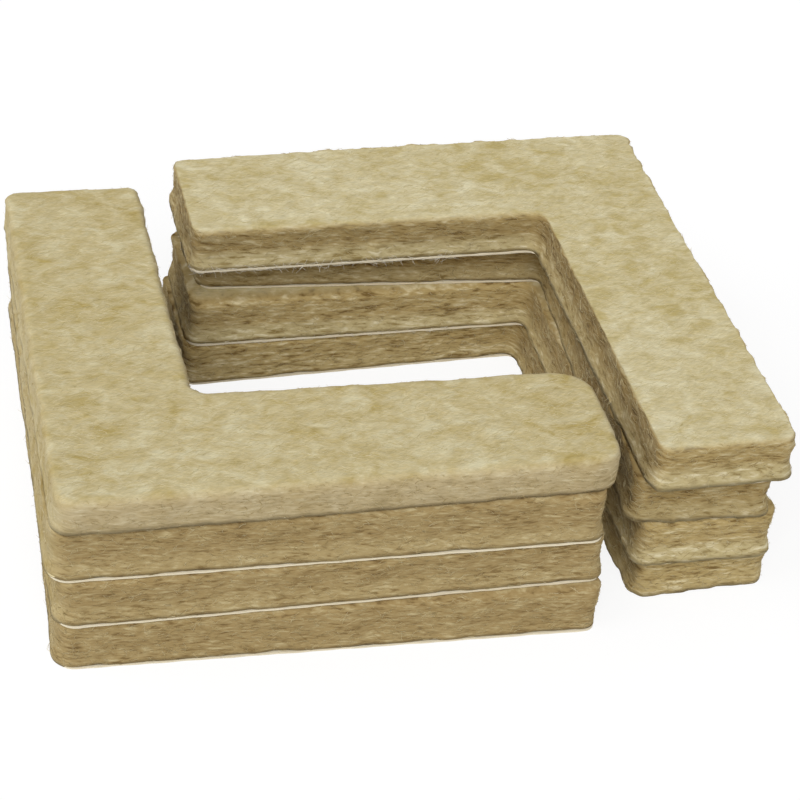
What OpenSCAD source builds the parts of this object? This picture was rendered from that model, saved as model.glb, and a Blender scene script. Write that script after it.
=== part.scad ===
// Furniture slider pads: L-shaped felt corner pads lying in two loose stacks.
// Each pad is a felt slab with an adhesive film and a paper release liner beneath it.

/* [Pad] */
// Length of a leg along its outer edge
leg_len = 63.5; // [50:0.5:80]
// Width of a leg
leg_w = 17; // [12:0.5:24]
// Thickness of a pad with its film and liner
pad_t = 6; // [5.5:0.25:9]
// Radius of the corners at the outside and at the ends of the legs
corner_r = 1.5; // [1.25:0.25:4]
// Radius of the worn corner at the end of the top front pad's leg across
worn_r = 4.5; // [1.5:0.25:6]
// Radius of the fillet in the inner corner
inner_r = 2; // [1.75:0.25:5]

/* [Cut edge] */
// How far the foot of the cut edge spreads past the upright wall
foot_spread = 0.6; // [0.2:0.1:0.8]
// Height of the spread foot
foot_h = 2.3; // [1:0.1:2.4]
// Rounding of the top edge
edge_r = 0.8; // [0.3:0.1:1.2]

/* [Backing] */
// Thickness of the adhesive film
film_t = 0.2; // [0.1:0.05:0.3]
// Step of the film in from the foot of the felt
film_inset = 0.4; // [0.2:0.1:1]
// Thickness of the release liner
liner_t = 0.2; // [0.1:0.05:0.3]
// How far the liner reaches past the foot of the felt
liner_reach = 0.2; // [0.1:0.1:0.4]

/* [Stacks] */
// Clear gap between the two stacks, liner edge to liner edge
stack_gap = 2.2; // [2:0.1:6]
// Distance of the back stack's near end behind the front edge
set_back = 3; // [0:0.5:10]

/* [Hidden] */
// Steps of each corner arc, of the spread foot and of the rounded top edge
corner_steps = 6;
foot_steps = 4;
edge_steps = 3;
arc_points = corner_steps + 1;

// The two stacks, each listed from its top pad down, and the pieces of a pad
STACKS = ["front", "back"];
PIECES = ["felt", "adhesive", "liner"];
// Turn of each stack, in degrees: the back one lies half a turn round
stack_turns = [0, 180];
// Legs of each stack as cut, against the leg length: first the one in depth, then the one across
stack_leg_shares = [[0.958, 1.006], [1.034, 0.998]];
// Thickness of each pad against the pad thickness, because the felt's loft varies
thickness_shares = [[0.82, 1.1, 1, 1.08], [0.96, 1.02, 1.04, 0.98]];
// How far each pad lies off its stack's corner, against the leg length
shift_shares = [
    [[0, 0], [-0.01, 0.012], [0.001, -0.008], [-0.002, -0.012]],
    [[-0.003, -0.007], [0.045, -0.003], [0, -0.002], [-0.021, 0.012]]
];
// How far each pad is turned off its stack, in degrees
pad_turns = [[1, -0.2, 0.7, -1], [1.4, -2.6, 1.1, 3]];
// How far the foot of each pad spreads, against the foot spread: the top front pad's is tucked in
foot_shares = [[-0.4, 1, 0.8, 0.3], [1.2, 0.8, 1, 0.3]];
// How far each liner reaches past its foot, against the liner reach: the top front one lies hidden
reach_shares = [[-0.5, 1, 1, 1], [1, 1, 1, 1]];
// Stack and place of the pad with the worn corner
worn_pad = [0, 0];

stack_ids = [0:len(STACKS) - 1];
pad_ids = [0:len(pad_turns[0]) - 1];

// Outer corner of the back stack, and of both stacks
back_corner = [
    leg_len * stack_leg_shares[0][1] + leg_w + widest_skirt(0) + widest_skirt(1) + stack_gap,
    leg_len * stack_leg_shares[1][0] + set_back
];
stack_corners = [[0, 0], back_corner];

// Sum of a list from one place on
function total_from(list, from) = from < len(list) ? list[from] + total_from(list, from + 1) : 0;

// A point turned about the corner by an angle
function turned(p, angle) = [p[0] * cos(angle) - p[1] * sin(angle), p[0] * sin(angle) + p[1] * cos(angle)];

// Points of an arc about a centre
function arc(centre, r, from, to) = [
    for (k = [0:corner_steps])
        let (angle = from + (to - from) * k / corner_steps)
        centre + r * [cos(angle), sin(angle)]
];

// Outline of a pad drawn in by an inset, counter-clockwise from its outer corner
function outline(stack, pad, inset) =
    let (
        legs = pad_legs(stack),
        ends = legs - [corner_r, corner_r],
        end_r = [stack, pad] == worn_pad ? worn_r : corner_r,
        r = corner_r - inset
    )
    concat(
        arc([corner_r, corner_r], r, 180, 270),
        arc([ends[1], corner_r], r, 270, 360),
        arc([legs[1] - end_r, leg_w - end_r], end_r - inset, 0, 90),
        arc([leg_w + inner_r, leg_w + inner_r], inner_r + inset, 270, 180),
        arc([leg_w - corner_r, ends[0]], r, 0, 90),
        arc([corner_r, ends[0]], r, 90, 180)
    );

// Cut edge of a felt slab as pairs of height and inset: a spread foot, an upright wall, a rounded top
function edge_profile(felt_t, spread) = concat(
    [for (k = [0:foot_steps]) let (rise = k / foot_steps) [foot_h * rise, -spread * (1 - rise) ^ 2]],
    [for (k = [0:edge_steps])
        let (angle = 90 * k / edge_steps)
        [felt_t - edge_r * (1 - sin(angle)), edge_r * (1 - cos(angle))]]
);

// Sizes and place of one pad
function pad_legs(stack) = leg_len * stack_leg_shares[stack];
function pad_floor(stack, pad) = pad_t * total_from(thickness_shares[stack], pad + 1);
function felt_thickness(stack, pad) = pad_t * thickness_shares[stack][pad] - film_t - liner_t;
function pad_corner(stack, pad) = stack_corners[stack] + leg_len * shift_shares[stack][pad];
function pad_turn(stack, pad) = stack_turns[stack] + pad_turns[stack][pad];
function pad_spread(stack, pad) = foot_spread * foot_shares[stack][pad];
function pad_skirt(stack, pad) = pad_spread(stack, pad) + liner_reach * reach_shares[stack][pad];
function widest_skirt(stack) = max([for (pad = pad_ids) pad_skirt(stack, pad)]);

// Middle of the box round both stacks, where the set's origin lies on the ground
set_points = [
    for (stack = stack_ids, pad = pad_ids, p = outline(stack, pad, -max(pad_skirt(stack, pad), 0)))
        pad_corner(stack, pad) + turned(p, pad_turn(stack, pad))
];
set_low = [min([for (p = set_points) p[0]]), min([for (p = set_points) p[1]])];
set_high = [max([for (p = set_points) p[0]]), max([for (p = set_points) p[1]])];
set_middle = (set_low + set_high) / 2;

function piece_name(stack, pad, piece) = str(STACKS[stack], "_pad_", pad + 1, "_", piece);

// Faces that close a ring of the outline: one leg, a fan into the inner corner, and the other leg
function cap() =
    let (last = 6 * arc_points - 1, hub = arc_points - 1, fan = 3 * arc_points, turn = 4 * arc_points - 1)
    concat(
        [[for (i = [hub:fan]) i]],
        [for (i = [fan:turn - 1]) [hub, i, i + 1]],
        [[each [turn:last], each [0:hub]]]
    );

// Closed solid through a pile of rings of the outline
module loft(rings) {
    n = len(rings[0]);
    top = n * (len(rings) - 1);
    sides = [
        for (row = [0:n:top - n], i = [0:n - 1])
            let (a = row + i, b = row + (i + 1) % n)
            each [[a, a + n, b + n], [a, b + n, b]]
    ];
    lid = [for (face = cap()) [for (i = [len(face) - 1:-1:0]) top + face[i]]];
    polyhedron([for (ring = rings) each ring], concat(cap(), sides, lid));
}

// Puts a piece of a pad at its place in the stack, a height above the pad's underside
module in_stack(stack, pad, height) {
    place = pad_corner(stack, pad) - set_middle;
    translate([place[0], place[1], pad_floor(stack, pad) + height])
        rotate(pad_turn(stack, pad))
            children();
}

// Felt slab: the outline lofted up the profile of its cut edge
module felt(stack, pad) {
    color("#c2b388")
        in_stack(stack, pad, liner_t + film_t)
            loft([
                for (step = edge_profile(felt_thickness(stack, pad), pad_spread(stack, pad)))
                    [for (p = outline(stack, pad, step[1])) [p[0], p[1], step[0]]]
            ]);
}

// Adhesive film between the felt and its liner
module adhesive(stack, pad) {
    color("#e6dcb8")
        in_stack(stack, pad, liner_t)
            linear_extrude(film_t)
                polygon(outline(stack, pad, film_inset - pad_spread(stack, pad)));
}

// Paper release liner, which lies under the felt and mostly reaches a little past it
module liner(stack, pad) {
    color("#f4f1e8")
        in_stack(stack, pad, 0)
            linear_extrude(liner_t)
                polygon(outline(stack, pad, -pad_skirt(stack, pad)));
}

for (stack = stack_ids, pad = pad_ids) {
    felt(stack, pad);
    adhesive(stack, pad);
    liner(stack, pad);
}
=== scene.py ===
"""Self-adhesive felt corner pads in two loose stacks, dressed for the render.

Each pad is a needled felt slab on an adhesive film and a paper release liner. Lengths are in
metres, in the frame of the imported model.
"""
import logging
import math
from dataclasses import dataclass, replace
from enum import Enum
from typing import NamedTuple

import bpy
import numpy as np
from mathutils import Matrix, Vector
from mathutils.geometry import delaunay_2d_cdt


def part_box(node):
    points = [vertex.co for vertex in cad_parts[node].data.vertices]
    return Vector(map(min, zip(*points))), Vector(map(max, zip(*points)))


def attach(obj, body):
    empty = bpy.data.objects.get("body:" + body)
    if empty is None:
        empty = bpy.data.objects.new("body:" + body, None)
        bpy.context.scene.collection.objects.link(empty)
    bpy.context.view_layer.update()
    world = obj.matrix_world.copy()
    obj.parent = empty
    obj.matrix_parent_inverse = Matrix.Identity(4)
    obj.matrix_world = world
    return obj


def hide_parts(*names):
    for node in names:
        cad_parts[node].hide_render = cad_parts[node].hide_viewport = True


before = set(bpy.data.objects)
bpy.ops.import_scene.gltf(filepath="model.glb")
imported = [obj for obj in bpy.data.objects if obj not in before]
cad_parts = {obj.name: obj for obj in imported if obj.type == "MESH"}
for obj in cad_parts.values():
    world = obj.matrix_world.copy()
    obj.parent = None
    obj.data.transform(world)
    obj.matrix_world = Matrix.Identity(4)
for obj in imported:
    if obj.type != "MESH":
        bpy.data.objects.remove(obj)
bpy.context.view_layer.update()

LOG = logging.getLogger("corner_pads")
MM = 0.001
# Share of each point of a slab that is cut edge, from 0 on the open face to 1 on the wall
CUT = "cut"
# Share of the cut layers in the look of each point of a slab, the rest being the look of the open face
LOOK = "look"
# How far each point of a slab stands out on the spread foot, from 0 on the wall to 1 at the widest foot
FOOT = "foot"
# Painted light and shade at each point of a slab, against its finish: each pad's colour takes a gain of
# painted light and shade, and some walls and the crease at the lip are painted darker as painted shade
PAINTED_SHADE = "shade"
# How ragged each point of a slab is, from 0 where it is cut clean to 1
RAG = "rag"
# Share of loose fibres at each point of an open face, which falls to 0 at its rim
FACE = "face"
# Share of loose fibres at each point of a liner's edge
FRAY = "fray"
# Tone of each loose fibre, from 0 for the darkest to 1 for the palest
TONE = "tone"
Material = bpy.types.Material
Mesh = bpy.types.Mesh
Object = bpy.types.Object
Socket = bpy.types.NodeSocket
Tree = bpy.types.NodeTree


def linear(hex_colour: str) -> tuple[float, float, float, float]:
    """Turn an sRGB colour to the linear values that shaders take.

    Args:
        hex_colour: Colour as "#rrggbb".

    Returns:
        Linear red, green and blue, with an alpha of 1.
    """
    shares = [int(hex_colour[place:place + 2], 16) / 255 for place in (1, 3, 5)]
    rgb = [s / 12.92 if s <= 0.04045 else ((s + 0.055) / 1.055) ** 2.4 for s in shares]
    return (*rgb, 1.0)


def add(tree: Tree, kind: str, inputs: dict | None = None, **settings: object) -> Socket | None:
    """Add a node to a tree with its settings and links.

    Args:
        tree: Tree that takes the node.
        kind: Blender's own name for the kind of node.
        inputs: A value or a source socket for each input, by the input's name or its place.
        settings: Properties of the node, set before its inputs.

    Returns:
        The node's first output in use, or None for a node without outputs.
    """
    node = tree.nodes.new(kind)
    for name, value in settings.items():
        setattr(node, name, value)
    shown = [socket for socket in node.inputs if socket.enabled]
    for key, value in (inputs or {}).items():
        socket = shown[key] if isinstance(key, int) else next(s for s in shown if s.name == key)
        if isinstance(value, Socket):
            tree.links.new(value, socket)
        else:
            socket.default_value = value
    return next((socket for socket in node.outputs if socket.enabled), None)


def empty_material(name: str) -> tuple[Material, Tree]:
    """Make a material with no nodes in it.

    Args:
        name: Name of the real material.

    Returns:
        The material and its node tree.
    """
    material = bpy.data.materials.new(name)
    material.use_nodes = True
    material.node_tree.nodes.clear()
    return material, material.node_tree


def new_object(name: str, mesh: Mesh) -> Object:
    """Put a mesh into the scene as an object at the origin.

    Args:
        name: Name of the object, given to its mesh too.
        mesh: Mesh with its place in its points.

    Returns:
        The new object.
    """
    mesh.name = name
    piece = bpy.data.objects.new(name, mesh)
    bpy.context.scene.collection.objects.link(piece)
    return piece


class Stack(Enum):
    """The two stacks of the set."""

    FRONT = "front"
    BACK = "back"


# Needle-punched polyester felt: matt all over, mottled where ochre and pale fibres bunch, streaked by
# single fibres on its open face and by the needled layers on its cut edge.
@dataclass(frozen=True)
class NeedledFelt:
    """Finish of a felt slab."""

    name: str = "needle_punched_felt"
    face_colours: tuple[str, ...] = ("#b09c5e", "#c4b588", "#d5cca8")
    face_bands: tuple[tuple[float, float], ...] = ((0.42, 0.68), (0.62, 0.9))
    wall_colours: tuple[str, ...] = ("#79623b", "#a28b5e", "#c3b389")
    foot_colours: tuple[str, ...] = ("#9c8759", "#bcad81", "#cfc39b")
    wall_bands: tuple[tuple[float, float], ...] = ((0.47, 0.62), (0.62, 0.82))
    clump_size: tuple[float, float, float] = (4 * MM, 4 * MM, 1.2 * MM)
    clump_share: float = 0.25
    clump_detail: float = 2.0
    patch_size: tuple[float, float, float] = (3.4 * MM, 2.4 * MM, 3 * MM)
    patch_detail: float = 5.0
    patch_roughness: float = 0.65
    patch_warp: float = 0.6
    drift_size: float = 16 * MM
    drift_share: float = 0.3
    drift_detail: float = 1.0
    hair_size: tuple[float, float, float] = (1.6 * MM, 0.15 * MM, 0.15 * MM)
    hair_turns: tuple[tuple[float, float, float], ...] = ((0, 0, 4), (0, 0, -20), (0, 0, 30))
    hair_band: tuple[float, float] = (0.36, 0.64)
    hair_share: float = 0.19
    streak_detail: float = 3.0
    streak_roughness: float = 0.6
    streak_warp: float = 0.5
    layer_size: tuple[float, float, float] = (1.7 * MM, 1.7 * MM, 0.3 * MM)
    layer_turns: tuple[tuple[float, float, float], ...] = ((0, 0, 0), (6, 6, 0))
    # Powers of the painted shade gain for red, green and blue, so that painted shade is warmer where it is
    # darker
    shade_powers: tuple[float, float, float] = (0.85, 1.0, 1.25)
    relief: float = 0.12 * MM
    relief_share: float = 0.7
    roughness: tuple[float, float] = (1.0, 0.88)
    specular: float = 0.2
    sheen: float = 0.25
    sheen_roughness: float = 0.5

    def material(self) -> Material:
        """Build the felt's shader on object coordinates and the slab's own attributes.

        Returns:
            The felt material.
        """
        material, tree = empty_material(self.name)
        where = add(tree, "ShaderNodeTexCoord").node.outputs["Object"]
        look, foot, shade = (
            add(tree, "ShaderNodeAttribute", attribute_name=name).node.outputs["Fac"]
            for name in (LOOK, FOOT, PAINTED_SHADE))
        hairs = self._streaks(tree, where, self.hair_size, self.hair_turns)
        layers = self._streaks(tree, where, self.layer_size, self.layer_turns)
        face = self._face_colour(tree, where, hairs)
        clump = add(tree, "ShaderNodeMapping", {"Vector": where, "Scale": self.clump_size},
                    vector_type="TEXTURE")
        clumps = add(tree, "ShaderNodeTexNoise", {
            "Vector": clump, "Scale": 1.0, "Detail": self.clump_detail})
        packed = add(tree, "ShaderNodeMath", {0: clumps, 1: self.clump_share, 2: layers},
                     operation="MULTIPLY_ADD")
        wall = self._graded(tree, packed, self.wall_bands, self.wall_colours)
        spread = self._graded(tree, packed, self.wall_bands, self.foot_colours)
        edge = add(tree, "ShaderNodeMix", {"Factor": foot, "A": wall, "B": spread}, data_type="RGBA")
        plain = add(tree, "ShaderNodeMix", {"Factor": look, "A": face, "B": edge}, data_type="RGBA")
        # Painted light and shade: the slab's painted shade gain scales the colour, warmer where it darkens
        tint = add(tree, "ShaderNodeVectorMath", {0: shade, 1: self.shade_powers}, operation="POWER")
        colour = add(tree, "ShaderNodeVectorMath", {0: plain, 1: tint}, operation="MULTIPLY")
        height = add(tree, "ShaderNodeMix", {"Factor": look, "A": hairs, "B": layers})
        bump = add(tree, "ShaderNodeBump", {
            "Height": height, "Strength": self.relief_share, "Distance": self.relief})
        rough = add(tree, "ShaderNodeMapRange", {
            "Value": height, "To Min": self.roughness[0], "To Max": self.roughness[1]})
        shader = add(tree, "ShaderNodeBsdfPrincipled", {
            "Base Color": colour, "Roughness": rough, "Normal": bump, "Specular IOR Level": self.specular,
            "Sheen Weight": self.sheen, "Sheen Roughness": self.sheen_roughness,
            "Sheen Tint": linear(self.face_colours[-1])})
        add(tree, "ShaderNodeOutputMaterial", {"Surface": shader})
        return material

    def _streaks(self, tree: Tree, where: Socket, size: tuple[float, ...],
                 turns: tuple[tuple[float, ...], ...]) -> Socket:
        """Draw fibres that cross at several angles.

        Args:
            tree: The felt's node tree.
            where: Object coordinates.
            size: Length, width and height of a fibre.
            turns: Turns about the three axes, in degrees, of each direction that fibres take.

        Returns:
            A value of about 0 to 1 that is high on a fibre.
        """
        total = 0.0
        for turn in turns:
            along = add(tree, "ShaderNodeMapping", {
                "Vector": where, "Rotation": [math.radians(angle) for angle in turn], "Scale": size},
                vector_type="TEXTURE")
            streak = add(tree, "ShaderNodeTexNoise", {
                "Vector": along, "Scale": 1.0, "Detail": self.streak_detail,
                "Roughness": self.streak_roughness, "Distortion": self.streak_warp})
            total = add(tree, "ShaderNodeMath", {0: streak, 1: 1 / len(turns), 2: total},
                        operation="MULTIPLY_ADD")
        return total

    def _face_colour(self, tree: Tree, where: Socket, hairs: Socket) -> Socket:
        """Mottle the open face and lighten it along its fibres.

        Args:
            tree: The felt's node tree.
            where: Object coordinates.
            hairs: Pattern of single fibres.

        Returns:
            Colour of the open face.
        """
        cell = add(tree, "ShaderNodeMapping", {"Vector": where, "Scale": self.patch_size},
                   vector_type="TEXTURE")
        patch = add(tree, "ShaderNodeTexNoise", {
            "Vector": cell, "Scale": 1.0, "Detail": self.patch_detail,
            "Roughness": self.patch_roughness, "Distortion": self.patch_warp})
        drift = add(tree, "ShaderNodeTexNoise", {
            "Vector": where, "Scale": 1 / self.drift_size, "Detail": self.drift_detail})
        mottle = add(tree, "ShaderNodeMath", {0: drift, 1: self.drift_share, 2: patch},
                     operation="MULTIPLY_ADD")
        colour = self._graded(tree, mottle, self.face_bands, self.face_colours)
        gain = add(tree, "ShaderNodeMapRange", {
            "Value": hairs, "From Min": self.hair_band[0], "From Max": self.hair_band[1],
            "To Min": 1 - self.hair_share, "To Max": 1 + self.hair_share})
        return add(tree, "ShaderNodeVectorMath", {0: colour, "Scale": gain}, operation="SCALE")

    def _graded(self, tree: Tree, value: Socket, bands: tuple[tuple[float, float], ...],
                colours: tuple[str, ...]) -> Socket:
        """Grade a pattern through a row of colours.

        Args:
            tree: The felt's node tree.
            value: Pattern to grade.
            bands: Values between which each next colour takes over.
            colours: Colours from the lowest value to the highest.

        Returns:
            The graded colour.
        """
        colour = linear(colours[0])
        for (low, high), following in zip(bands, colours[1:]):
            share = add(tree, "ShaderNodeMapRange", {"Value": value, "From Min": low, "From Max": high},
                        interpolation_type="SMOOTHSTEP")
            colour = add(tree, "ShaderNodeMix", {"Factor": share, "A": colour, "B": linear(following)},
                         data_type="RGBA")
        return colour


# The back stack's felt is paler, and its walls are painted paler still as painted light, to lift the shade
# of the well between the stacks
PALE_FELT = NeedledFelt(
    name="needle_punched_felt_pale", face_colours=("#b6a46a", "#cabd93", "#dcd4b3"),
    wall_colours=("#70582f", "#a8915f", "#cfc19a"), foot_colours=("#8c794a", "#b6a77c", "#d6ccab"),
    layer_size=(2.2 * MM, 2.2 * MM, 0.4 * MM))
# The top front pad's wall is paler
PALE_WALL_FELT = NeedledFelt(
    name="needle_punched_felt_pale_wall", wall_colours=("#917d57", "#b5a27e", "#d2c5a4"))


# Loose polyester fibre: thin and slightly lustrous, so a stray one catches more light than the felt.
@dataclass(frozen=True)
class LooseFibre:
    """Finish of the fibres that lie on the felt and stand off its edges."""

    name: str
    dark: str
    pale: str
    roughness: tuple[float, float] = (0.9, 0.7)
    specular: float = 0.25

    def material(self) -> Material:
        """Build the fibre's shader, with a tone of its own on each fibre.

        Returns:
            The fibre material.
        """
        material, tree = empty_material(self.name)
        tone = add(tree, "ShaderNodeAttribute", attribute_name=TONE).node.outputs["Fac"]
        colour = add(tree, "ShaderNodeMix", {
            "Factor": tone, "A": linear(self.dark), "B": linear(self.pale)}, data_type="RGBA")
        rough = add(tree, "ShaderNodeMapRange", {
            "Value": tone, "To Min": self.roughness[0], "To Max": self.roughness[1]})
        shader = add(tree, "ShaderNodeBsdfPrincipled", {
            "Base Color": colour, "Roughness": rough, "Specular IOR Level": self.specular})
        add(tree, "ShaderNodeOutputMaterial", {"Surface": shader})
        return material


# Polyester fibre of the open faces and of the cut edges, and the paper fibre of frayed liners
FACE_FIBRE = LooseFibre(name="polyester_face_fibre", dark="#ae9b61", pale="#dbd2b0")
EDGE_FIBRE = LooseFibre(name="polyester_edge_fibre", dark="#937d4f", pale="#cfc199")
FRAY_FIBRE = LooseFibre(name="frayed_paper_fibre", dark="#e0dac9", pale="#f8f5ec")


@dataclass(frozen=True)
class PatchyFilm:
    """Finish of a thin, smooth layer whose colour and gloss vary in patches."""

    name: str
    thin: str
    thick: str
    patch_size: float
    patch_detail: float
    grain_size: float
    grain_detail: float
    relief: float
    roughness: tuple[float, float]
    ior: float

    def material(self) -> Material:
        """Build the layer's shader on object coordinates.

        Returns:
            The layer's material.
        """
        material, tree = empty_material(self.name)
        where = add(tree, "ShaderNodeTexCoord").node.outputs["Object"]
        patch = add(tree, "ShaderNodeTexNoise", {
            "Vector": where, "Scale": 1 / self.patch_size, "Detail": self.patch_detail})
        grain = add(tree, "ShaderNodeTexNoise", {
            "Vector": where, "Scale": 1 / self.grain_size, "Detail": self.grain_detail})
        colour = add(tree, "ShaderNodeMix", {
            "Factor": patch, "A": linear(self.thin), "B": linear(self.thick)}, data_type="RGBA")
        rough = add(tree, "ShaderNodeMapRange", {
            "Value": patch, "To Min": self.roughness[0], "To Max": self.roughness[1]})
        bump = add(tree, "ShaderNodeBump", {"Height": grain, "Distance": self.relief})
        shader = add(tree, "ShaderNodeBsdfPrincipled", {
            "Base Color": colour, "Roughness": rough, "Normal": bump, "IOR": self.ior})
        add(tree, "ShaderNodeOutputMaterial", {"Surface": shader})
        return material


# Siliconised kraft paper: smooth, off-white and a little glossy, with faint cloudy formation
RELEASE_PAPER = PatchyFilm(
    name="siliconised_release_paper", thin="#efe6cf", thick="#dfd4b8", patch_size=4 * MM, patch_detail=4.0,
    grain_size=0.3 * MM, grain_detail=2.0, relief=0.02 * MM, roughness=(0.45, 0.6), ior=1.45)
# Pressure-sensitive acrylic adhesive: a tacky, honey-pale film with glossy and dull patches
TACKY_FILM = PatchyFilm(
    name="acrylic_adhesive", thin="#e9dfbb", thick="#d9c892", patch_size=2.5 * MM, patch_detail=3.0,
    grain_size=2.5 * MM, grain_detail=3.0, relief=0.05 * MM, roughness=(0.2, 0.5), ior=1.47)


class GeometryTree:
    """A Geometry Nodes tree with named inputs, turned to a plain mesh when it is used."""

    def __init__(self, name: str, inputs: dict[str, str]) -> None:
        """Make the tree with its inputs and outputs.

        Args:
            name: Name of the tree.
            inputs: Kind of socket of each named input, beside the floor and the material.
        """
        self.tree = bpy.data.node_groups.new(name, "GeometryNodeTree")
        face = self.tree.interface
        face.new_socket("Geometry", in_out="INPUT", socket_type="NodeSocketGeometry")
        kinds = {**inputs, "Floor": "NodeSocketFloat", "Material": "NodeSocketMaterial"}
        self.identifiers = {
            key: face.new_socket(key, in_out="INPUT", socket_type=kind).identifier
            for key, kind in kinds.items()}
        face.new_socket("Geometry", in_out="OUTPUT", socket_type="NodeSocketGeometry")
        self.given = self.tree.nodes.new("NodeGroupInput").outputs

    def close(self, geometry: Socket) -> None:
        """End the tree: make one mesh of it, keep it above the floor and dress it.

        Args:
            geometry: Result of the tree.
        """
        tree, given = self.tree, self.given
        whole = add(tree, "GeometryNodeRealizeInstances", {"Geometry": geometry})
        place = add(tree, "ShaderNodeSeparateXYZ", {0: add(tree, "GeometryNodeInputPosition")}).node.outputs
        height = add(tree, "ShaderNodeMath", {0: place["Z"], 1: given["Floor"]}, operation="MAXIMUM")
        seat = add(tree, "ShaderNodeCombineXYZ", {"X": place["X"], "Y": place["Y"], "Z": height})
        clear = add(tree, "GeometryNodeSetPosition", {"Geometry": whole, "Position": seat})
        dressed = add(tree, "GeometryNodeSetMaterial", {"Geometry": clear, "Material": given["Material"]})
        add(tree, "NodeGroupOutput", {"Geometry": dressed})

    def mesh_from(self, base: Object, values: dict[str, object]) -> Mesh:
        """Run the tree on an object and return its result as a plain mesh.

        Args:
            base: Object that the tree starts from.
            values: Value of each named input.

        Returns:
            A new mesh, with no modifier behind it.
        """
        modifier = base.modifiers.new(self.tree.name, "NODES")
        modifier.node_group = self.tree
        for name, value in values.items():
            modifier[self.identifiers[name]] = value
        graph = bpy.context.evaluated_depsgraph_get()
        mesh = bpy.data.meshes.new_from_object(
            base.evaluated_get(graph), preserve_all_data_layers=True, depsgraph=graph)
        base.modifiers.remove(modifier)
        return mesh


@dataclass(frozen=True)
class Unevenness:
    """Sizes and depths of the lumps, layers, waves and tufts of needled felt."""

    lump_size: float = 4.5 * MM
    lump_depth: float = 0.13 * MM
    grain_size: float = 1.0 * MM
    grain_depth: float = 0.06 * MM
    layer_length: float = 2.2 * MM
    layer_pitch: float = 0.6 * MM
    layer_depth: float = 0.1 * MM
    wave_size: float = 5 * MM
    wave_depth: float = 0.3 * MM
    rag_size: float = 1.3 * MM
    rag_depth: float = 0.12 * MM
    tuft_size: float = 3 * MM
    tuft_depth: float = 0.5 * MM

    def inputs(self) -> dict[str, float]:
        """Name each value as the relief's tree does."""
        return {key.replace("_", " ").title(): value for key, value in vars(self).items()}


class NeedledRelief(GeometryTree):
    """Gives a smooth slab the lumps, layers and ragged outline of needled felt."""

    # Range of a noise that is stretched over the whole swing of a pattern
    EVEN_BAND = (0.2, 0.8)
    # Peaks of a noise that stand out as single tufts
    TUFT_BAND = (0.6, 0.74)
    # Share of the waves that the spread foot takes, because the liner holds it
    HELD_SHARE = 0.35
    # Octaves of each pattern
    DETAIL = 2.0

    def __init__(self) -> None:
        """Wire the tree: one relief for the open face, another for the cut edge."""
        kinds = {name: "NodeSocketFloat" for name in (*Unevenness().inputs(), "Seed")}
        super().__init__("needled_relief", kinds)
        tree, given = self.tree, self.given
        cut, foot, torn = (
            add(tree, "GeometryNodeInputNamedAttribute", {"Name": name}, data_type="FLOAT")
            for name in (CUT, FOOT, RAG))
        down, both = (-1.0, 0.0), (-1.0, 1.0)
        lumps = self._pattern("Lump Size", "Lump Size", "Lump Depth", self.EVEN_BAND, down)
        grain = self._pattern("Grain Size", "Grain Size", "Grain Depth", self.EVEN_BAND, down)
        layers = self._pattern("Layer Length", "Layer Pitch", "Layer Depth", self.EVEN_BAND, both)
        waves = self._pattern("Wave Size", "Wave Size", "Wave Depth", self.EVEN_BAND, both)
        rags = self._pattern("Rag Size", "Rag Size", "Rag Depth", self.EVEN_BAND, both)
        tufts = self._pattern("Tuft Size", "Tuft Size", "Tuft Depth", self.TUFT_BAND, (0.0, 1.0))
        face = add(tree, "ShaderNodeMath", {0: lumps, 1: grain}, operation="ADD")
        held = add(tree, "ShaderNodeMapRange", {"Value": foot, "To Min": 1.0, "To Max": self.HELD_SHARE})
        ragged = add(tree, "ShaderNodeMath", {0: rags, 1: torn, 2: waves}, operation="MULTIPLY_ADD")
        wall = add(tree, "ShaderNodeMath", {0: ragged, 1: held, 2: layers}, operation="MULTIPLY_ADD")
        edge = add(tree, "ShaderNodeMath", {0: tufts, 1: foot, 2: wall}, operation="MULTIPLY_ADD")
        depth = add(tree, "ShaderNodeMix", {"Factor": cut, "A": face, "B": edge})
        offset = add(tree, "ShaderNodeVectorMath", {
            0: add(tree, "GeometryNodeInputNormal"), "Scale": depth}, operation="SCALE")
        self.close(add(tree, "GeometryNodeSetPosition", {"Geometry": given["Geometry"], "Offset": offset}))

    def _pattern(self, level: str, upright: str, depth: str, band: tuple[float, float],
                 swing: tuple[float, float]) -> Socket:
        """Add a noise with its own size along the ground and upwards, times its depth.

        Args:
            level: Name of the input with the size along the ground.
            upright: Name of the input with the size upwards.
            depth: Name of the input with the depth.
            band: Values of the noise that are stretched over the swing.
            swing: Lowest and highest share of the depth.

        Returns:
            How far the pattern moves the surface.
        """
        tree, given = self.tree, self.given
        size = add(tree, "ShaderNodeCombineXYZ", {
            "X": given[level], "Y": given[level], "Z": given[upright]})
        cell = add(tree, "ShaderNodeVectorMath", {
            0: add(tree, "GeometryNodeInputPosition"), 1: size}, operation="DIVIDE")
        noise = add(tree, "ShaderNodeTexNoise", {
            "Vector": cell, "W": given["Seed"], "Scale": 1.0, "Detail": self.DETAIL}, noise_dimensions="4D")
        share = add(tree, "ShaderNodeMapRange", {
            "Value": noise, "From Min": band[0], "From Max": band[1],
            "To Min": swing[0], "To Max": swing[1]})
        return add(tree, "ShaderNodeMath", {0: share, 1: given[depth]}, operation="MULTIPLY")


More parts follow.
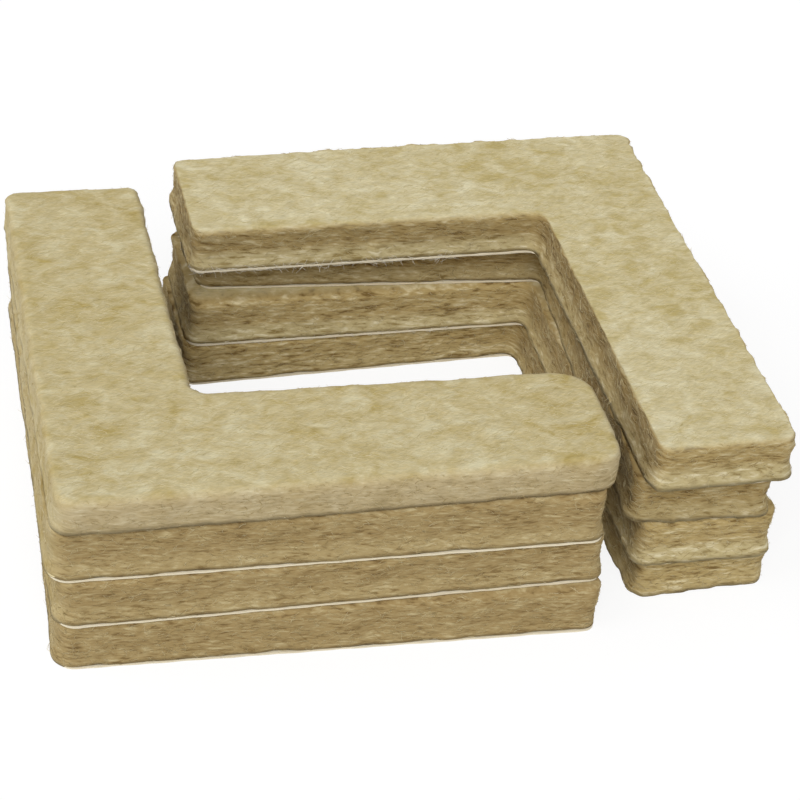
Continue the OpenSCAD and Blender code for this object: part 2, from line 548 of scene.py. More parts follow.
@dataclass(frozen=True)
class FibreLay:
    """How one kind of loose fibre lies on a piece.

    Attributes:
        where: Name of the share of fibres at each point.
        density: Fibres to a square metre, where the share is 1.
        length: Length of a fibre.
        thickness: Thickness of a fibre.
        square_to: Direction that fibres lie square to.
        lay: Turn of the fibres off that, in degrees.
        stray: Most that a fibre strays from the rest, in degrees.
        tilt: Most that a fibre tilts off the surface, in degrees.
        slopes: Lowest and highest upward share of the surface's normal that takes fibres.
    """

    where: str
    density: float
    length: float
    thickness: float
    square_to: tuple[float, float, float]
    lay: float
    stray: float
    tilt: float
    slopes: tuple[float, float]

    def inputs(self) -> dict[str, object]:
        """Name each value as the fibres' tree does."""
        return {
            "Where": self.where, "Density": self.density, "Length": self.length,
            "Thickness": self.thickness, "Square To": self.square_to, "Lay": math.radians(self.lay),
            "Stray": math.radians(self.stray), "Tilt": math.radians(self.tilt),
            "Lowest Slope": self.slopes[0], "Highest Slope": self.slopes[1]}


class LooseFibres(GeometryTree):
    """Lays single bent fibres over a piece, along its surface."""

    # Ends of a fibre, and the bow and lift of each kind of fibre, as shares of its length
    END_SHARES = (-0.5, 0.5)
    BENT_SHARES = ((0.1, 0.01), (0.26, 0.03), (-0.18, 0.02))
    # Shortest and longest fibre, against the length
    LENGTH_SHARES = (0.35, 1.2)
    # Steps along a fibre, and the sides of its section
    STEPS = 3
    SIDES = 3

    def __init__(self) -> None:
        """Wire the tree: scatter points, aim a bent fibre at each, and tone it."""
        values = ("Density", "Length", "Thickness", "Lay", "Stray", "Tilt", "Lowest Slope", "Highest Slope")
        super().__init__("loose_fibres", {
            "Where": "NodeSocketString", **{name: "NodeSocketFloat" for name in values},
            "Square To": "NodeSocketVector", "Seed": "NodeSocketInt"})
        self.draws = 0
        tree, given = self.tree, self.given
        share = add(tree, "GeometryNodeInputNamedAttribute", {"Name": given["Where"]}, data_type="FLOAT")
        slope = add(tree, "ShaderNodeSeparateXYZ", {
            0: add(tree, "GeometryNodeInputNormal")}).node.outputs["Z"]
        above = add(tree, "FunctionNodeCompare", {"A": slope, "B": given["Lowest Slope"]},
                    operation="GREATER_THAN")
        below = add(tree, "FunctionNodeCompare", {"A": slope, "B": given["Highest Slope"]},
                    operation="LESS_THAN")
        chosen = add(tree, "FunctionNodeBooleanMath", {0: above, 1: below}, operation="AND")
        density = add(tree, "ShaderNodeMath", {0: share, 1: given["Density"]}, operation="MULTIPLY")
        points = add(tree, "GeometryNodeDistributePointsOnFaces", {
            "Mesh": given["Geometry"], "Selection": chosen, "Density": density, "Seed": given["Seed"]})
        length = add(tree, "ShaderNodeMath", {0: self._draw(*self.LENGTH_SHARES), 1: share},
                     operation="MULTIPLY")
        stretch = add(tree, "ShaderNodeCombineXYZ", {"X": length, "Y": 1.0, "Z": 1.0})
        laid = add(tree, "GeometryNodeInstanceOnPoints", {
            "Points": points, "Instance": self._fibre_kinds(), "Pick Instance": True,
            "Rotation": self._aim(points.node.outputs["Normal"]), "Scale": stretch})
        self.close(add(tree, "GeometryNodeStoreNamedAttribute", {
            "Geometry": laid, "Name": TONE, "Value": self._draw(0.0, 1.0)}, data_type="FLOAT",
            domain="INSTANCE"))

    def _draw(self, low: float, high: float) -> Socket:
        """Draw a value for each fibre that no other draw follows.

        Args:
            low: Lowest value.
            high: Highest value.

        Returns:
            The value.
        """
        self.draws += 1
        seed = add(self.tree, "FunctionNodeIntegerMath", {0: self.given["Seed"], 1: self.draws},
                   operation="MULTIPLY_ADD")
        return add(self.tree, "FunctionNodeRandomValue", {"Min": low, "Max": high, "Seed": seed},
                   data_type="FLOAT")

    def _aim(self, normal: Socket) -> Socket:
        """Aim fibres along the surface.

        Args:
            normal: Normal of the surface at a point.

        Returns:
            Rotation of each fibre.
        """
        tree, given = self.tree, self.given
        angle = add(tree, "ShaderNodeMath", {0: self._draw(-1.0, 1.0), 1: given["Stray"], 2: given["Lay"]},
                    operation="MULTIPLY_ADD")
        level = add(tree, "ShaderNodeVectorMath", {0: given["Square To"], 1: normal},
                    operation="CROSS_PRODUCT")
        along = add(tree, "ShaderNodeVectorRotate", {"Vector": level, "Axis": normal, "Angle": angle},
                    rotation_type="AXIS_ANGLE")
        facing = add(tree, "FunctionNodeAlignRotationToVector", {"Vector": along}, axis="X")
        flat = add(tree, "FunctionNodeAlignRotationToVector", {"Rotation": facing, "Vector": normal},
                   axis="Z", pivot_axis="X")
        tilt = add(tree, "ShaderNodeMath", {0: self._draw(-1.0, 1.0), 1: given["Tilt"]},
                   operation="MULTIPLY")
        rock = add(tree, "FunctionNodeAxisAngleToRotation", {"Axis": (0, 1, 0), "Angle": tilt})
        return add(tree, "FunctionNodeRotateRotation", {"Rotation": flat, "Rotate By": rock},
                   rotation_space="LOCAL")

    def _fibre_kinds(self) -> Socket:
        """Make a bent fibre of each kind, of a few faces.

        Returns:
            The kinds as separate instances.
        """
        tree, given = self.tree, self.given
        radius = add(tree, "ShaderNodeMath", {0: given["Thickness"], 1: 0.5}, operation="MULTIPLY")
        ring = add(tree, "GeometryNodeCurvePrimitiveCircle", {"Resolution": self.SIDES, "Radius": radius})
        kinds = add(tree, "GeometryNodeGeometryToInstance")
        for bow, lift in self.BENT_SHARES:
            spine = []
            for shares in ((self.END_SHARES[0], 0, 0), (0, bow, lift), (self.END_SHARES[1], 0, 0)):
                spine.append(add(tree, "ShaderNodeVectorMath", {0: shares, "Scale": given["Length"]},
                                 operation="SCALE"))
            path = add(tree, "GeometryNodeCurveQuadraticBezier", {
                "Resolution": self.STEPS, "Start": spine[0], "Middle": spine[1], "End": spine[2]})
            strand = add(tree, "GeometryNodeCurveToMesh", {
                "Curve": path, "Profile Curve": ring, "Fill Caps": True})
            facet = add(tree, "GeometryNodeSetShadeSmooth", {"Geometry": strand, "Shade Smooth": False})
            tree.links.new(facet, kinds.node.inputs["Geometry"])
        return kinds


@dataclass(frozen=True)
class DieCut:
    """Sizes that every pad takes from the cutting die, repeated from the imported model."""

    leg_len: float = 63.5 * MM
    leg_w: float = 17 * MM
    corner_r: float = 1.5 * MM
    inner_r: float = 2 * MM
    foot_spread: float = 0.6 * MM
    foot_h: float = 2.3 * MM
    edge_r: float = 0.8 * MM
    film_inset: float = 0.4 * MM
    liner_t: float = 0.2 * MM
    liner_reach: float = 0.2 * MM
    side_step: float = 0.4 * MM
    least_steps: int = 2
    corner_steps: int = 8

    def ring(self, legs: tuple[float, float], radii: "CornerRadii", inset: float) -> np.ndarray:
        """Trace the pad's outline, drawn in by an inset, counter-clockwise from its outer corner.

        Args:
            legs: Lengths of the leg in depth and of the leg across.
            radii: Radii of the corners that differ from pad to pad.
            inset: How far the outline is drawn in.

        Returns:
            Points of the closed outline, as many for every inset.
        """
        r, w, fillet = self.corner_r, self.leg_w, self.inner_r
        deep, across = legs
        outer, tip, end = radii
        corners = (
            (outer, outer, outer - inset, 180, 270), (across - tip, tip, tip - inset, 270, 360),
            (across - end, w - end, end - inset, 0, 90),
            (w + fillet, w + fillet, fillet + inset, 270, 180),
            (w - r, deep - r, r - inset, 0, 90), (r, deep - r, r - inset, 90, 180))
        straights = (across - outer - tip, w - tip - end, across - w - end - fillet, deep - w - r - fillet,
                     w - 2 * r, deep - outer - r)
        arcs = []
        for x, y, radius, first, last in corners:
            angles = np.radians(np.linspace(first, last, self.corner_steps + 1))
            arcs.append(np.stack([x + radius * np.cos(angles), y + radius * np.sin(angles)], 1))
        points = []
        for arc, following, length in zip(arcs, arcs[1:] + arcs[:1], straights):
            steps = max(self.least_steps, round(length / self.side_step))
            shares = np.linspace(0, 1, steps + 1)[1:-1, None]
            points += [arc, arc[-1] + (following[0] - arc[-1]) * shares]
        return np.concatenate(points)


class CornerRadii(NamedTuple):
    """Radii of a pad's outer corner, and of the outer and the inner corner at the end of its leg across."""

    outer: float = DieCut.corner_r
    tip: float = DieCut.corner_r
    end: float = DieCut.corner_r


class Edge(NamedTuple):
    """A pad's outline, with a value for each of its points.

    Attributes:
        points: Places in the pad's own frame.
        normals: Outward normals.
        front: How far each point faces the front of the set, from 0 to 1.
        aside: How far each point faces along the leg across, from 0 to 1.
        outer: How far each point faces away from the leg across, from 0 to 1.
        spread: How far the foot spreads past the wall.
        bare: Share of the liner's edge that lies bare of felt.
        reach: How far the liner reaches past the foot.
    """

    points: np.ndarray
    normals: np.ndarray
    front: np.ndarray
    aside: np.ndarray
    outer: np.ndarray
    spread: np.ndarray
    bare: np.ndarray
    reach: np.ndarray


class EdgeRow(NamedTuple):
    """One row of points round the edge of a slab, with a value for the row or for each of its points.

    Attributes:
        height: Height above the underside.
        inset: How far the row is drawn in from the outline.
        cut: Share of cut edge.
        look: Share of the cut layers in the look.
        foot: How far the row stands out on the spread foot.
        core: Share of the painted shade of the side that it faces, rising up the foot to all of it on the
            wall.
    """

    height: float | np.ndarray
    inset: float | np.ndarray
    cut: float
    look: float | np.ndarray
    foot: float | np.ndarray
    core: float


# Rows of an edge that make up its lip
LIP_ROWS = 2
# Kind of filling that keeps to the inside of its rim, and the distance in millimetres at which points merge
FILL_INSIDE = 1
FILL_MARGIN = 1e-6


class Dressing(NamedTuple):
    """Trees and materials that the pads share."""

    relief: NeedledRelief
    fibres: LooseFibres
    felts: dict[NeedledFelt, Material]
    face_fibre: Material
    edge_fibre: Material
    fray_fibre: Material
    paper: Material


# Fibres on an open face lie flat and mostly across, those of a cut edge run mostly level but for a few that
# stray off it, and frayed ones hang. Real fibres are more than these, and too fine to show.
FACE_LAY = FibreLay(
    where=FACE, density=4e6, length=1.4 * MM, thickness=0.03 * MM, square_to=(0, 1, 0), lay=4,
    stray=45, tilt=2, slopes=(0.5, 1.1))
EDGE_LAY = FibreLay(
    where=LOOK, density=3e6, length=1.2 * MM, thickness=0.045 * MM, square_to=(0, 0, 1), lay=0,
    stray=40, tilt=6, slopes=(-0.5, 0.9))
STRAY_LAY = FibreLay(
    where=CUT, density=0.8e6, length=1.5 * MM, thickness=0.03 * MM, square_to=(0, 0, 1), lay=0,
    stray=80, tilt=20, slopes=(-0.3, 1.0))
FRAY_LAY = FibreLay(
    where=FRAY, density=14e6, length=2.0 * MM, thickness=0.035 * MM, square_to=(0, 0, 1), lay=0,
    stray=70, tilt=35, slopes=(-0.5, 0.5))


@dataclass(frozen=True)
class CornerPad:
    """One L-shaped pad: a felt slab with its loose fibres, an adhesive film and a release liner."""

    stack: Stack
    # Place in the stack from its top down, seed of its random patterns, and turn in degrees
    number: int = 1
    seed: int = 1
    turn: float = 0.0
    # Legs as cut, against the leg length: first the one in depth, then the one across
    leg_shares: tuple[float, float] = (1.0, 1.0)
    die: DieCut = DieCut()
    radii: CornerRadii = CornerRadii()
    felt: NeedledFelt = NeedledFelt()
    unevenness: Unevenness = Unevenness()
    fill: float = 0.9
    # Swell past the die's outline: of the inner sides towards the inner corner, of the outer side towards
    # the outer corner, and of the end of the leg across
    inner_swell: float = 0.0
    outer_swell: float = 0.0
    end_swell: float = 0.0
    # Rounding of the top edge, at the front and at the other sides
    shoulder_r: float = 0.9 * MM
    side_shoulder_r: float = 0.25 * MM
    # Spread of the foot against the die's, then its shares on the outer and rear sides, on the sides of the
    # inner corner and at the end of the leg across
    foot_share: float = 1.0
    side_spread_share: float = 0.3
    inner_spread_share: float = 0.3
    end_spread_share: float = 0.3
    # Waist of the wall above the foot, and how steeply the wall leaves it
    waist: float = 0.1 * MM
    waist_power: float = 1.5
    # Lip of felt that hangs over the film's edge, and over the liner's where that is not bare
    lip_spread: float = 0.1 * MM
    lip_drop: float = 0.17 * MM
    overhang: float = 0.05 * MM
    # Reach of the liner against the die's, its ripple, its tuck under the lip, and how much of it lies bare
    # at the front and, against that, at the end of the leg in depth
    reach_share: float = 1.0
    ripple: float = 0.05 * MM
    ripple_size: float = 2.2 * MM
    ripple_ratio: float = 2.7
    tuck: float = 0.3 * MM
    bare_share: float = 1.0
    end_bare_share: float = 0.4
    # How frayed the liner's edge is, and where along the leg across that starts
    fray_share: float = 0.0
    fray_from_share: float = 0.45
    # Painted light and shade: a gain on the felt's colour for how much light reaches the pad, painted shade
    # on its walls that face along the leg across or away from it, and a painted shadow in the crease at its
    # lip
    shade: float = 1.0
    side_shade: float = 1.0
    outer_shade: float = 1.0
    crease_shade: float = 0.6
    # Share of the layered look on the walls, and against that on those that face away from the leg across,
    # the rest taking the paler look of the face: on the outer walls that is painted sheen, and less of it
    # lower down the stack is painted shade
    wall_share: float = 1.0
    outer_wall_share: float = 1.0
    # How much paler the foot is, against the palest, the widest foot for that, and how it fades upwards
    tint_share: float = 1.0
    widest_share: float = 1.2
    tint_power: int = 3
    # How clean the front walls are cut
    clean_share: float = 0.8
    # A face with a pad on it shows only a rim, which takes the wall's darker look as painted shade under the
    # pad above, and has fewer fibres
    covered: bool = True
    rim: float = 3 * MM
    face_density_share: float = 0.2
    # Rows of points up the edge, spacing of those on the face, and how clear of its rim they keep
    foot_rows: int = 9
    wall_rows: int = 8
    edge_rows: int = 5
    face_step: float = 0.4 * MM
    clear_share: float = 0.7

    @property
    def name(self) -> str:
        """Name of the pad, which its pieces start with."""
        return f"{self.stack.value}_pad_{self.number}"

    @property
    def legs(self) -> tuple[float, float]:
        """Lengths of the leg in depth and of the leg across."""
        return tuple(self.die.leg_len * share for share in self.leg_shares)

    @property
    def spread(self) -> float:
        """How far this pad's foot spreads past its wall, at most."""
        return self.die.foot_spread * self.foot_share

    @property
    def reach(self) -> float:
        """How far this pad's liner reaches past its foot."""
        return self.die.liner_reach * self.reach_share

    def outline(self, inset: float) -> np.ndarray:
        """Trace this pad's outline in its own frame, drawn in by an inset."""
        return self.die.ring(self.legs, self.radii, inset)

    def edge(self) -> Edge:
        """Trace this pad's outline, swollen where the felt bulges, with what each of its points faces.

        Returns:
            The outline with its values.
        """
        base = self.outline(0)
        normals = (self.outline(-MM) - base) / MM
        angle = math.radians(self.turn)
        front = np.clip(-normals @ (math.sin(angle), math.cos(angle)), 0, 1)
        past = np.clip(base - self.die.leg_w, 0, None) / (np.array(self.legs[::-1]) - self.die.leg_w)
        inner = np.clip(normals, 0, 1)[:, ::-1] * np.where(past > 0, np.clip(1 - past, 0, 1) ** 2, 0)
        near = np.clip(1 - (base[:, 0] / self.legs[1]) ** 2, 0, 1)
        far = base[:, 0] > (self.die.leg_w + self.legs[1]) / 2
        sideways = np.where(far, self.end_spread_share, self.inner_spread_share)
        aside, outer = (np.clip(side * normals[:, 0], 0, 1) ** 2 for side in (1, -1))
        swell = self.inner_swell * inner.sum(1) + self.outer_swell * near * np.clip(-normals[:, 1], 0, 1)
        swell += self.end_swell * far * aside
        share = self.side_spread_share + (sideways - self.side_spread_share) * aside
        spread = self.spread * (share + (1 - share) * front)
        ended = base[:, 1] > self.legs[0] - self.die.corner_r
        along = np.cumsum(np.hypot(*(base - np.roll(base, 1, 0)).T)) / self.ripple_size
        ripple = np.sin(along + self.seed) * np.sin(along * self.ripple_ratio)
        bare = self.bare_share * front * np.where(ended, self.end_bare_share, 1)
        points = base + normals * swell[:, None]
        reach = self.reach + self.ripple * ripple * front
        return Edge(points, normals, front, aside, outer, spread, bare, reach)

    def place(self, points: np.ndarray) -> np.ndarray:
        """Turn outline points and move them to the pad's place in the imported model.

        Args:
            points: Points in the pad's own frame, with its outer corner at zero.

        Returns:
            The points in the model's frame.
        """
        angle = math.radians(self.turn)
        turn = np.array([[math.cos(angle), math.sin(angle)], [-math.sin(angle), math.cos(angle)]])
        low = (self.outline(-self.spread - self.reach) @ turn).min(0)
        corner = np.array(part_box(f"{self.name}_liner")[0][:2]) - low
        return points @ turn + corner

    def profile(self, felt_t: float, edge: Edge) -> list[EdgeRow]:
        """Work out the rows of the cut edge, from the underside up.

        Args:
            felt_t: Thickness of the felt.
            edge: The pad's outline.

        Returns:
            The rows: a lip over the film's edge, a spread foot, a wall with a waist and a rounded top. The
            lip hangs over the liner's edge too, except where that lies bare.
        """
        die = self.die
        look = self.wall_share * (1 - (1 - self.outer_wall_share) * edge.outer)
        shoulder = self.side_shoulder_r + (self.shoulder_r - self.side_shoulder_r) * edge.front
        covered = 1 - edge.bare
        waist = self.waist * max(self.foot_share, 0)
        tint = self.tint_share * np.clip(edge.spread / (die.foot_spread * self.widest_share), 0, 1)
        lip = edge.spread + (self.lip_spread + edge.reach) * covered
        drop = self.lip_drop + (die.liner_t + self.overhang) * covered
        rows = [EdgeRow(0, die.film_inset - self.spread, 1, look, tint, 0),
                EdgeRow(-drop, -lip, 1, look, tint, 0)]
        for rise in np.linspace(0, 1, self.foot_rows)[1:]:
            inset = waist - (waist + lip) * (1 - rise) ** 2
            fade = 1 - rise ** self.tint_power
            rows.append(EdgeRow(die.foot_h * rise, inset, 1, look, tint * fade, rise))
        for rise in np.linspace(0, 1, self.wall_rows)[1:-1]:
            height = die.foot_h + (felt_t - shoulder - die.foot_h) * rise
            rows.append(EdgeRow(height, waist * (1 - rise) ** self.waist_power, 1, look, 0, 1))
        for angle in np.linspace(0, math.pi / 2, self.edge_rows):
            upright = math.cos(angle) ** 2
            height = felt_t - shoulder * (1 - math.sin(angle))
            inset = shoulder * (1 - math.cos(angle))
            # A covered pad's rounded edge keeps the wall's darker look, as painted shade under the pad above
            shown = look if self.covered else look * upright
            rows.append(EdgeRow(height, inset, upright, shown, 0, upright))
        return rows

    def inner_points(self, rim: np.ndarray) -> tuple[np.ndarray, np.ndarray]:
        """Lay a grid of points inside the rim of the open face.

        Args:
            rim: Outline of the open face, in the pad's own frame.

        Returns:
            Grid points that keep clear of the rim, and how far each is from it.
        """
        step = self.face_step
        across = np.arange(rim[:, 0].min(), rim[:, 0].max(), step)
        deep = np.arange(rim[:, 1].min(), rim[:, 1].max(), step)
        grid = np.stack(np.meshgrid(across, deep), -1).reshape(-1, 2)
        inside = np.zeros(len(grid), bool)
        clear = np.full(len(grid), np.inf)
        for start, end in zip(rim, np.roll(rim, -1, 0)):
            straddles = (start[1] > grid[:, 1]) != (end[1] > grid[:, 1])
            slope = (end[0] - start[0]) / (end[1] - start[1]) if end[1] != start[1] else 0.0
            inside ^= straddles & (grid[:, 0] < start[0] + (grid[:, 1] - start[1]) * slope)
            clear = np.minimum(clear, np.hypot(*(grid - start).T))
        kept = inside & (clear > step * self.clear_share)
        return grid[kept], clear[kept]

    def slab_mesh(self, low: float, high: float) -> Mesh:
        """Build the smooth felt slab: rows round its edge, a fine open face and a flat underside.

        Args:
            low: Height of the felt's underside.
            high: Height of the felt's open face.

        Returns:
            A closed mesh with the shares of cut edge, layered look, spread foot and open face at its points.
        """
        edge = self.edge()
        count = len(edge.points)
        rows = self.profile(high - low, edge)
        top = count * (len(rows) - 1)
        values = np.array([[np.broadcast_to(value, count) for value in row] for row in rows])
        heights, _, cut, look, foot, core = values.transpose(1, 0, 2).reshape(len(EdgeRow._fields), -1)
        # Painted shade: walls that face along the leg across or away from it are darkened, less so down the
        # foot, and the lip of front-facing walls takes a painted shadow in the crease
        painted_darkening = (1 - self.side_shade) * edge.aside + (1 - self.outer_shade) * edge.outer
        dim = 1 - core * np.tile(painted_darkening, len(rows))
        dim[:LIP_ROWS * count] *= 1 - (1 - self.crease_shade) * np.tile(edge.front, LIP_ROWS)
        torn = np.tile(1 - edge.front * self.clean_share, len(rows))
        rings = [edge.points - edge.normals * insets[:, None] for insets in values[:, 1]]
        inner, clear = self.inner_points(rings[-1])
        flat = np.concatenate([*rings, inner])
        spare = np.zeros(len(inner))
        heights = np.concatenate([heights, spare + high - low])
        # Painted shade: a covered face's rim, under the pad above, takes the wall's darker look, fading over
        # the rim's width
        rim_painted_shade = np.clip(1 - clear / self.rim, 0, 1) if self.covered else spare
        # Painted light and shade: each pad's gain, times the painted shade of its walls and crease
        shares = {
            PAINTED_SHADE: np.concatenate([self.shade * dim, spare + self.shade]),
            CUT: np.concatenate([cut, spare]), LOOK: np.concatenate([look, rim_painted_shade]),
            FOOT: np.concatenate([foot, spare]), RAG: np.concatenate([torn, spare]),
            FACE: np.concatenate([cut * 0, np.clip(clear / (FACE_LAY.length / 2), 0, 1)])}
        here = np.arange(count)
        after = np.roll(here, -1)
        faces = []
        for row in range(0, top, count):
            faces += np.stack([row + here, row + after, row + count + after, row + count + here], 1).tolist()
        faces += [[top + i for i in face] for face in self.filled(flat[top:], count)]
        faces += [face[::-1] for face in self.filled(rings[0], count)]
        mesh = bpy.data.meshes.new(self.name)
        mesh.from_pydata(np.column_stack([self.place(flat), low + heights]).tolist(), [], faces)
        for name, values in shares.items():
            mesh.attributes.new(name, "FLOAT", "POINT").data.foreach_set("value", values)
        mesh.shade_smooth()
        return mesh

    def filled(self, points: np.ndarray, rim_count: int) -> list[list[int]]:
        """Fill a rim, and any points inside it, with triangles.

        Args:
            points: Points of the rim, then those inside it.
            rim_count: How many points the rim has.

        Returns:
            Triangles as indices into the points, facing up.
        """
        rim = [(i, (i + 1) % rim_count) for i in range(rim_count)]
        spots = [Vector(p / MM) for p in points]
        _, _, faces, sources, _, _ = delaunay_2d_cdt(spots, rim, [], FILL_INSIDE, FILL_MARGIN)
        return [[sources[i][0] for i in face] for face in faces]

    def build_felt(self, dressing: Dressing) -> None:
        """Make the felt slab in the place of its solid, and lay loose fibres over it.

        Args:
            dressing: Trees and materials of the pads.
        """
        low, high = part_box(f"{self.name}_felt")
        floor = max(low.z - self.lip_drop - self.die.liner_t - self.overhang, 0)
        slab = new_object(f"{self.name}_slab", self.slab_mesh(low.z, high.z))
        slab.data = dressing.relief.mesh_from(slab, {
            **self.unevenness.inputs(), "Seed": float(self.seed), "Floor": floor,
            "Material": dressing.felts[self.felt]})
        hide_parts(f"{self.name}_felt")
        self.attach(slab, self.name)
        face_lay = replace(FACE_LAY, density=FACE_LAY.density * self.face_density_share)
        for kind, lay, fibre in (("face", face_lay, dressing.face_fibre),
                                 ("edge", EDGE_LAY, dressing.edge_fibre),
                                 ("stray", STRAY_LAY, dressing.face_fibre)):
            mesh = dressing.fibres.mesh_from(slab, {
                **lay.inputs(), "Seed": self.seed, "Floor": floor, "Material": fibre})
            self.attach(new_object(f"{self.name}_{kind}_fibres", mesh), self.name)

    def build_liner(self, dressing: Dressing) -> None:
        """Make the release liner in the place of its solid, with its frayed fibres.

        Args:
            dressing: Trees and materials of the pads.
        """
        low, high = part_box(f"{self.name}_liner")
        edge = self.edge()
        tucked = self.tuck * (1 - edge.bare)
        ring = edge.points + edge.normals * (edge.spread + edge.reach - tucked)[:, None]
        count = len(ring)
        spots = self.place(ring)
        points = np.concatenate([np.column_stack([spots, np.full(count, z)]) for z in (low.z, high.z)])
        lid = self.filled(ring, count)
        here = np.arange(count)
        after = np.roll(here, -1)
        faces = np.stack([here, after, count + after, count + here], 1).tolist()
        faces += [[count + i for i in face] for face in lid] + [face[::-1] for face in lid]
        mesh = bpy.data.meshes.new(self.name)
        mesh.from_pydata(points.tolist(), [], faces)
        mesh.materials.append(dressing.paper)
        frayed = (ring[:, 0] > self.legs[1] * self.fray_from_share) & (ring[:, 1] > self.die.leg_w / 2)
        mesh.attributes.new(FRAY, "FLOAT", "POINT").data.foreach_set(
            "value", np.tile(frayed * self.fray_share, 2).astype(float))
        liner = new_object(f"{self.name}_release_paper", mesh)
        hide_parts(f"{self.name}_liner")
        body = f"{self.stack.value}_liner_{self.number}"
        self.attach(liner, body)
        if self.fray_share:
            frays = dressing.fibres.mesh_from(liner, {
                **FRAY_LAY.inputs(), "Seed": self.seed, "Floor": low.z - FRAY_LAY.length,
                "Material": dressing.fray_fibre})
            self.attach(new_object(f"{self.name}_frayed_fibres", frays), body)

    def attach(self, piece: Object, body: str) -> None:
        """Let a piece ride on its body, and log how many faces it has.

        Args:
            piece: Finished piece.
            body: Body that carries it.
        """
        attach(piece, body)
        LOG.info("%s: %d faces", piece.name, len(piece.data.polygons))


class Lamp(NamedTuple):
    """A soft, distant lamp: the way that its light comes from, its strength and its spread in degrees."""

    name: str
    comes_from: tuple[float, float, float]
    strength: float
    spread: float


@dataclass
class Studio:
    """White floor, soft light and the camera."""

    floor_size: float = 4.0
    floor_drop: float = 0.02 * MM
    floor_colour: str = "#dedcd6"
    white: str = "#ffffff"
    shadow_share: float = 0.18
    glow: float = 1.03
    sky_strength: float = 0.28
    lamps: tuple[Lamp, ...] = (
        Lamp("key", (-0.75, 0.0, 0.66), 1.08, 50), Lamp("fill", (-0.18, -0.68, 0.71), 1.85, 44))
    eye: tuple[float, float, float] = (-56.96 * MM, -208.86 * MM, 179.93 * MM)
    yaw: float = 16.146
    pitch: float = 38.536
    roll: float = 6.640
    lens: float = 97.35
    near_clip: float = 10 * MM

    def build(self) -> None:
        """Make the floor, the lights and the camera."""
        self.make_floor()
        self.make_sky()
        self.make_lamps()
        self.make_camera()

    def seen(self, tree: Tree) -> Socket:
        """Tell the rays that show the background from those that light the set.

        Args:
            tree: Tree of a material or the world.

        Returns:
            1 for rays that show the background, and 0 for the rest.
        """
        rays = add(tree, "ShaderNodeLightPath").node.outputs
        mirrored = add(tree, "ShaderNodeMath", {0: rays["Is Glossy Ray"], 1: rays["Is Transmission Ray"]},
                       operation="MAXIMUM")
        return add(tree, "ShaderNodeMath", {0: rays["Is Camera Ray"], 1: mirrored}, operation="MAXIMUM")

    def make_floor(self) -> None:
        """Lay a white floor that keeps a share of the object's shadow."""
        half = self.floor_size / 2
        mesh = bpy.data.meshes.new("floor")
        mesh.from_pydata([(x, y, -self.floor_drop) for x, y in (
            (-half, -half), (half, -half), (half, half), (-half, half))], [], [(0, 1, 2, 3)])
        material, tree = empty_material("white_floor")
        dim = add(tree, "ShaderNodeBsdfDiffuse", {"Color": linear(self.floor_colour)})
        matt = add(tree, "ShaderNodeBsdfDiffuse", {"Color": linear(self.white)})
        glow = add(tree, "ShaderNodeEmission", {"Color": linear(self.white), "Strength": self.glow})
        white = add(tree, "ShaderNodeMixShader", {0: self.shadow_share, 1: glow, 2: matt})
        surface = add(tree, "ShaderNodeMixShader", {0: self.seen(tree), 1: dim, 2: white})
        add(tree, "ShaderNodeOutputMaterial", {"Surface": surface})
        mesh.materials.append(material)
        new_object("floor", mesh)

    def make_sky(self) -> None:
        """Light the set from a white sky."""
        world = bpy.data.worlds.new("studio")
        bpy.context.scene.world = world
        world.use_nodes = True
        tree = world.node_tree
        tree.nodes.clear()
        sky = add(tree, "ShaderNodeBackground", {
            "Color": linear(self.white), "Strength": self.sky_strength})
        white = add(tree, "ShaderNodeBackground", {"Color": linear(self.white), "Strength": 1.0})
        surface = add(tree, "ShaderNodeMixShader", {0: self.seen(tree), 1: sky, 2: white})
        add(tree, "ShaderNodeOutputWorld", {"Surface": surface})

    def make_lamps(self) -> None:
        """Hang the soft lamps, one high on the left and one beside the camera."""
        for lamp in self.lamps:
            light = bpy.data.lights.new(lamp.name, "SUN")
            light.energy = lamp.strength
            light.angle = math.radians(lamp.spread)
            holder = bpy.data.objects.new(lamp.name, light)
            holder.rotation_mode = "QUATERNION"
            holder.rotation_quaternion = Vector(lamp.comes_from).to_track_quat("Z", "Y")
            bpy.context.scene.collection.objects.link(holder)

    def make_camera(self) -> None:
        """Set the camera at the photograph's angle."""
        yaw, pitch, roll = (math.radians(angle) for angle in (self.yaw, self.pitch, self.roll))
        ahead = Vector((math.sin(yaw) * math.cos(pitch), math.cos(yaw) * math.cos(pitch), -math.sin(pitch)))
        level = Vector((math.cos(yaw), -math.sin(yaw), 0))
        upright = level.cross(ahead)
        right = math.cos(roll) * level + math.sin(roll) * upright
        up = math.cos(roll) * upright - math.sin(roll) * level
        lens = bpy.data.cameras.new("camera")
        lens.lens = self.lens
        lens.clip_start = self.near_clip
        camera = bpy.data.objects.new("camera", lens)
        turn = Matrix((right, up, -ahead)).transposed().to_4x4()
        camera.matrix_world = Matrix.Translation(self.eye) @ turn
        bpy.context.scene.collection.objects.link(camera)
        bpy.context.scene.camera = camera


# What the pads of a stack share. The front stack's outer corner is rubbed rounder, and its outer side is
# painted darker as painted shade; the back stack's felt is paler, its walls that face along the leg across
# are painted darker as painted shade, and its edges are the more ragged.
FRONT_PAD = CornerPad(
    Stack.FRONT, leg_shares=(0.958, 1.006), radii=CornerRadii(outer=2.4 * MM), bare_share=0.92,
    outer_shade=0.87, tint_share=0.35)
BACK_PAD = CornerPad(
    Stack.BACK, leg_shares=(1.034, 0.998), felt=PALE_FELT, bare_share=0.95, side_shade=0.66,
    inner_spread_share=0.5, unevenness=Unevenness(rag_size=2.4 * MM, rag_depth=0.4 * MM))
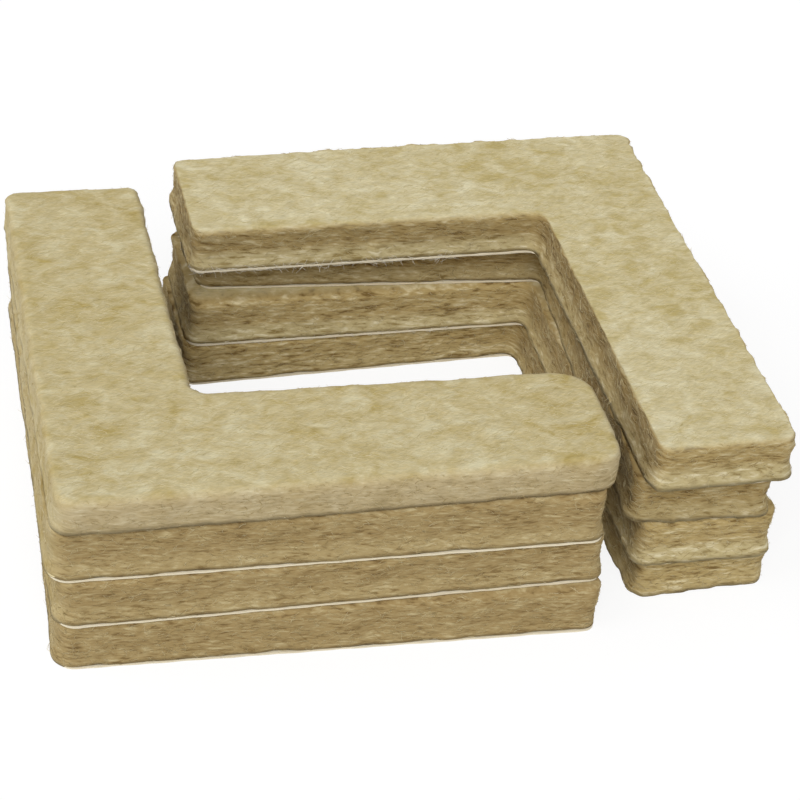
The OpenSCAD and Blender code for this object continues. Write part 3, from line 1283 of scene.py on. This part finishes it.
# The pads that top the stacks have an open face, with finer points and more fibres. The front one lies most
# open to wear: its end and shoulder are rounder and it swells, and its wall is paler. The back one's outer
# side swells.
FRONT_TOP = replace(
    FRONT_PAD, turn=1, foot_share=-0.4, reach_share=-0.5, bare_share=0.0, covered=False,
    face_density_share=1.0, face_step=0.32 * MM, felt=PALE_WALL_FELT, wall_share=0.75, outer_wall_share=0.35,
    side_spread_share=-1.2, radii=CornerRadii(outer=2.4 * MM, tip=2.8 * MM, end=4.5 * MM),
    shoulder_r=1.15 * MM, side_shoulder_r=DieCut.edge_r, inner_swell=0.7 * MM, end_swell=1.0 * MM)
BACK_TOP = replace(
    BACK_PAD, turn=181.4, foot_share=1.2, fray_share=1.0, covered=False, face_density_share=1.0,
    face_step=0.32 * MM, shade=1.03, side_spread_share=0.07, shoulder_r=DieCut.edge_r, outer_swell=0.9 * MM)
# The pads of both stacks, each from its top down. The gains paint the recessed second back pad darker and
# the two lowest back pads lighter, as painted shade and painted light; on the front stack's outer walls,
# more of the wall's darker look lower down is painted shade.
PADS = (
    FRONT_TOP,
    replace(FRONT_PAD, number=2, turn=-0.2, shade=0.99, outer_wall_share=0.4),
    replace(FRONT_PAD, number=3, turn=0.7, foot_share=0.8, outer_wall_share=0.6),
    replace(FRONT_PAD, number=4, turn=-1, foot_share=0.3, outer_wall_share=0.75, end_spread_share=-2),
    BACK_TOP,
    replace(BACK_PAD, number=2, turn=177.4, foot_share=0.8, fray_share=0.2, shade=0.87),
    replace(BACK_PAD, number=3, turn=181.1, fray_share=0.5, shade=1.15),
    replace(BACK_PAD, number=4, turn=183, foot_share=0.3, shade=1.22, side_spread_share=-2))


def main() -> None:
    """Build the studio and every pad, logging how many faces each piece has."""
    logging.basicConfig(level=logging.INFO, format="%(name)s %(message)s")
    bpy.context.scene.view_settings.view_transform = "Standard"
    Studio().build()
    dressing = Dressing(
        NeedledRelief(), LooseFibres(),
        {felt: felt.material() for felt in (NeedledFelt(), PALE_FELT, PALE_WALL_FELT)},
        FACE_FIBRE.material(), EDGE_FIBRE.material(), FRAY_FIBRE.material(), RELEASE_PAPER.material())
    film = TACKY_FILM.material()
    for seed, kind in enumerate(PADS, 1):
        pad = replace(kind, seed=seed)
        pad.build_felt(dressing)
        pad.build_liner(dressing)
        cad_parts[f"{pad.name}_adhesive"].material_slots[0].material = film


if __name__ == "__main__":
    main()
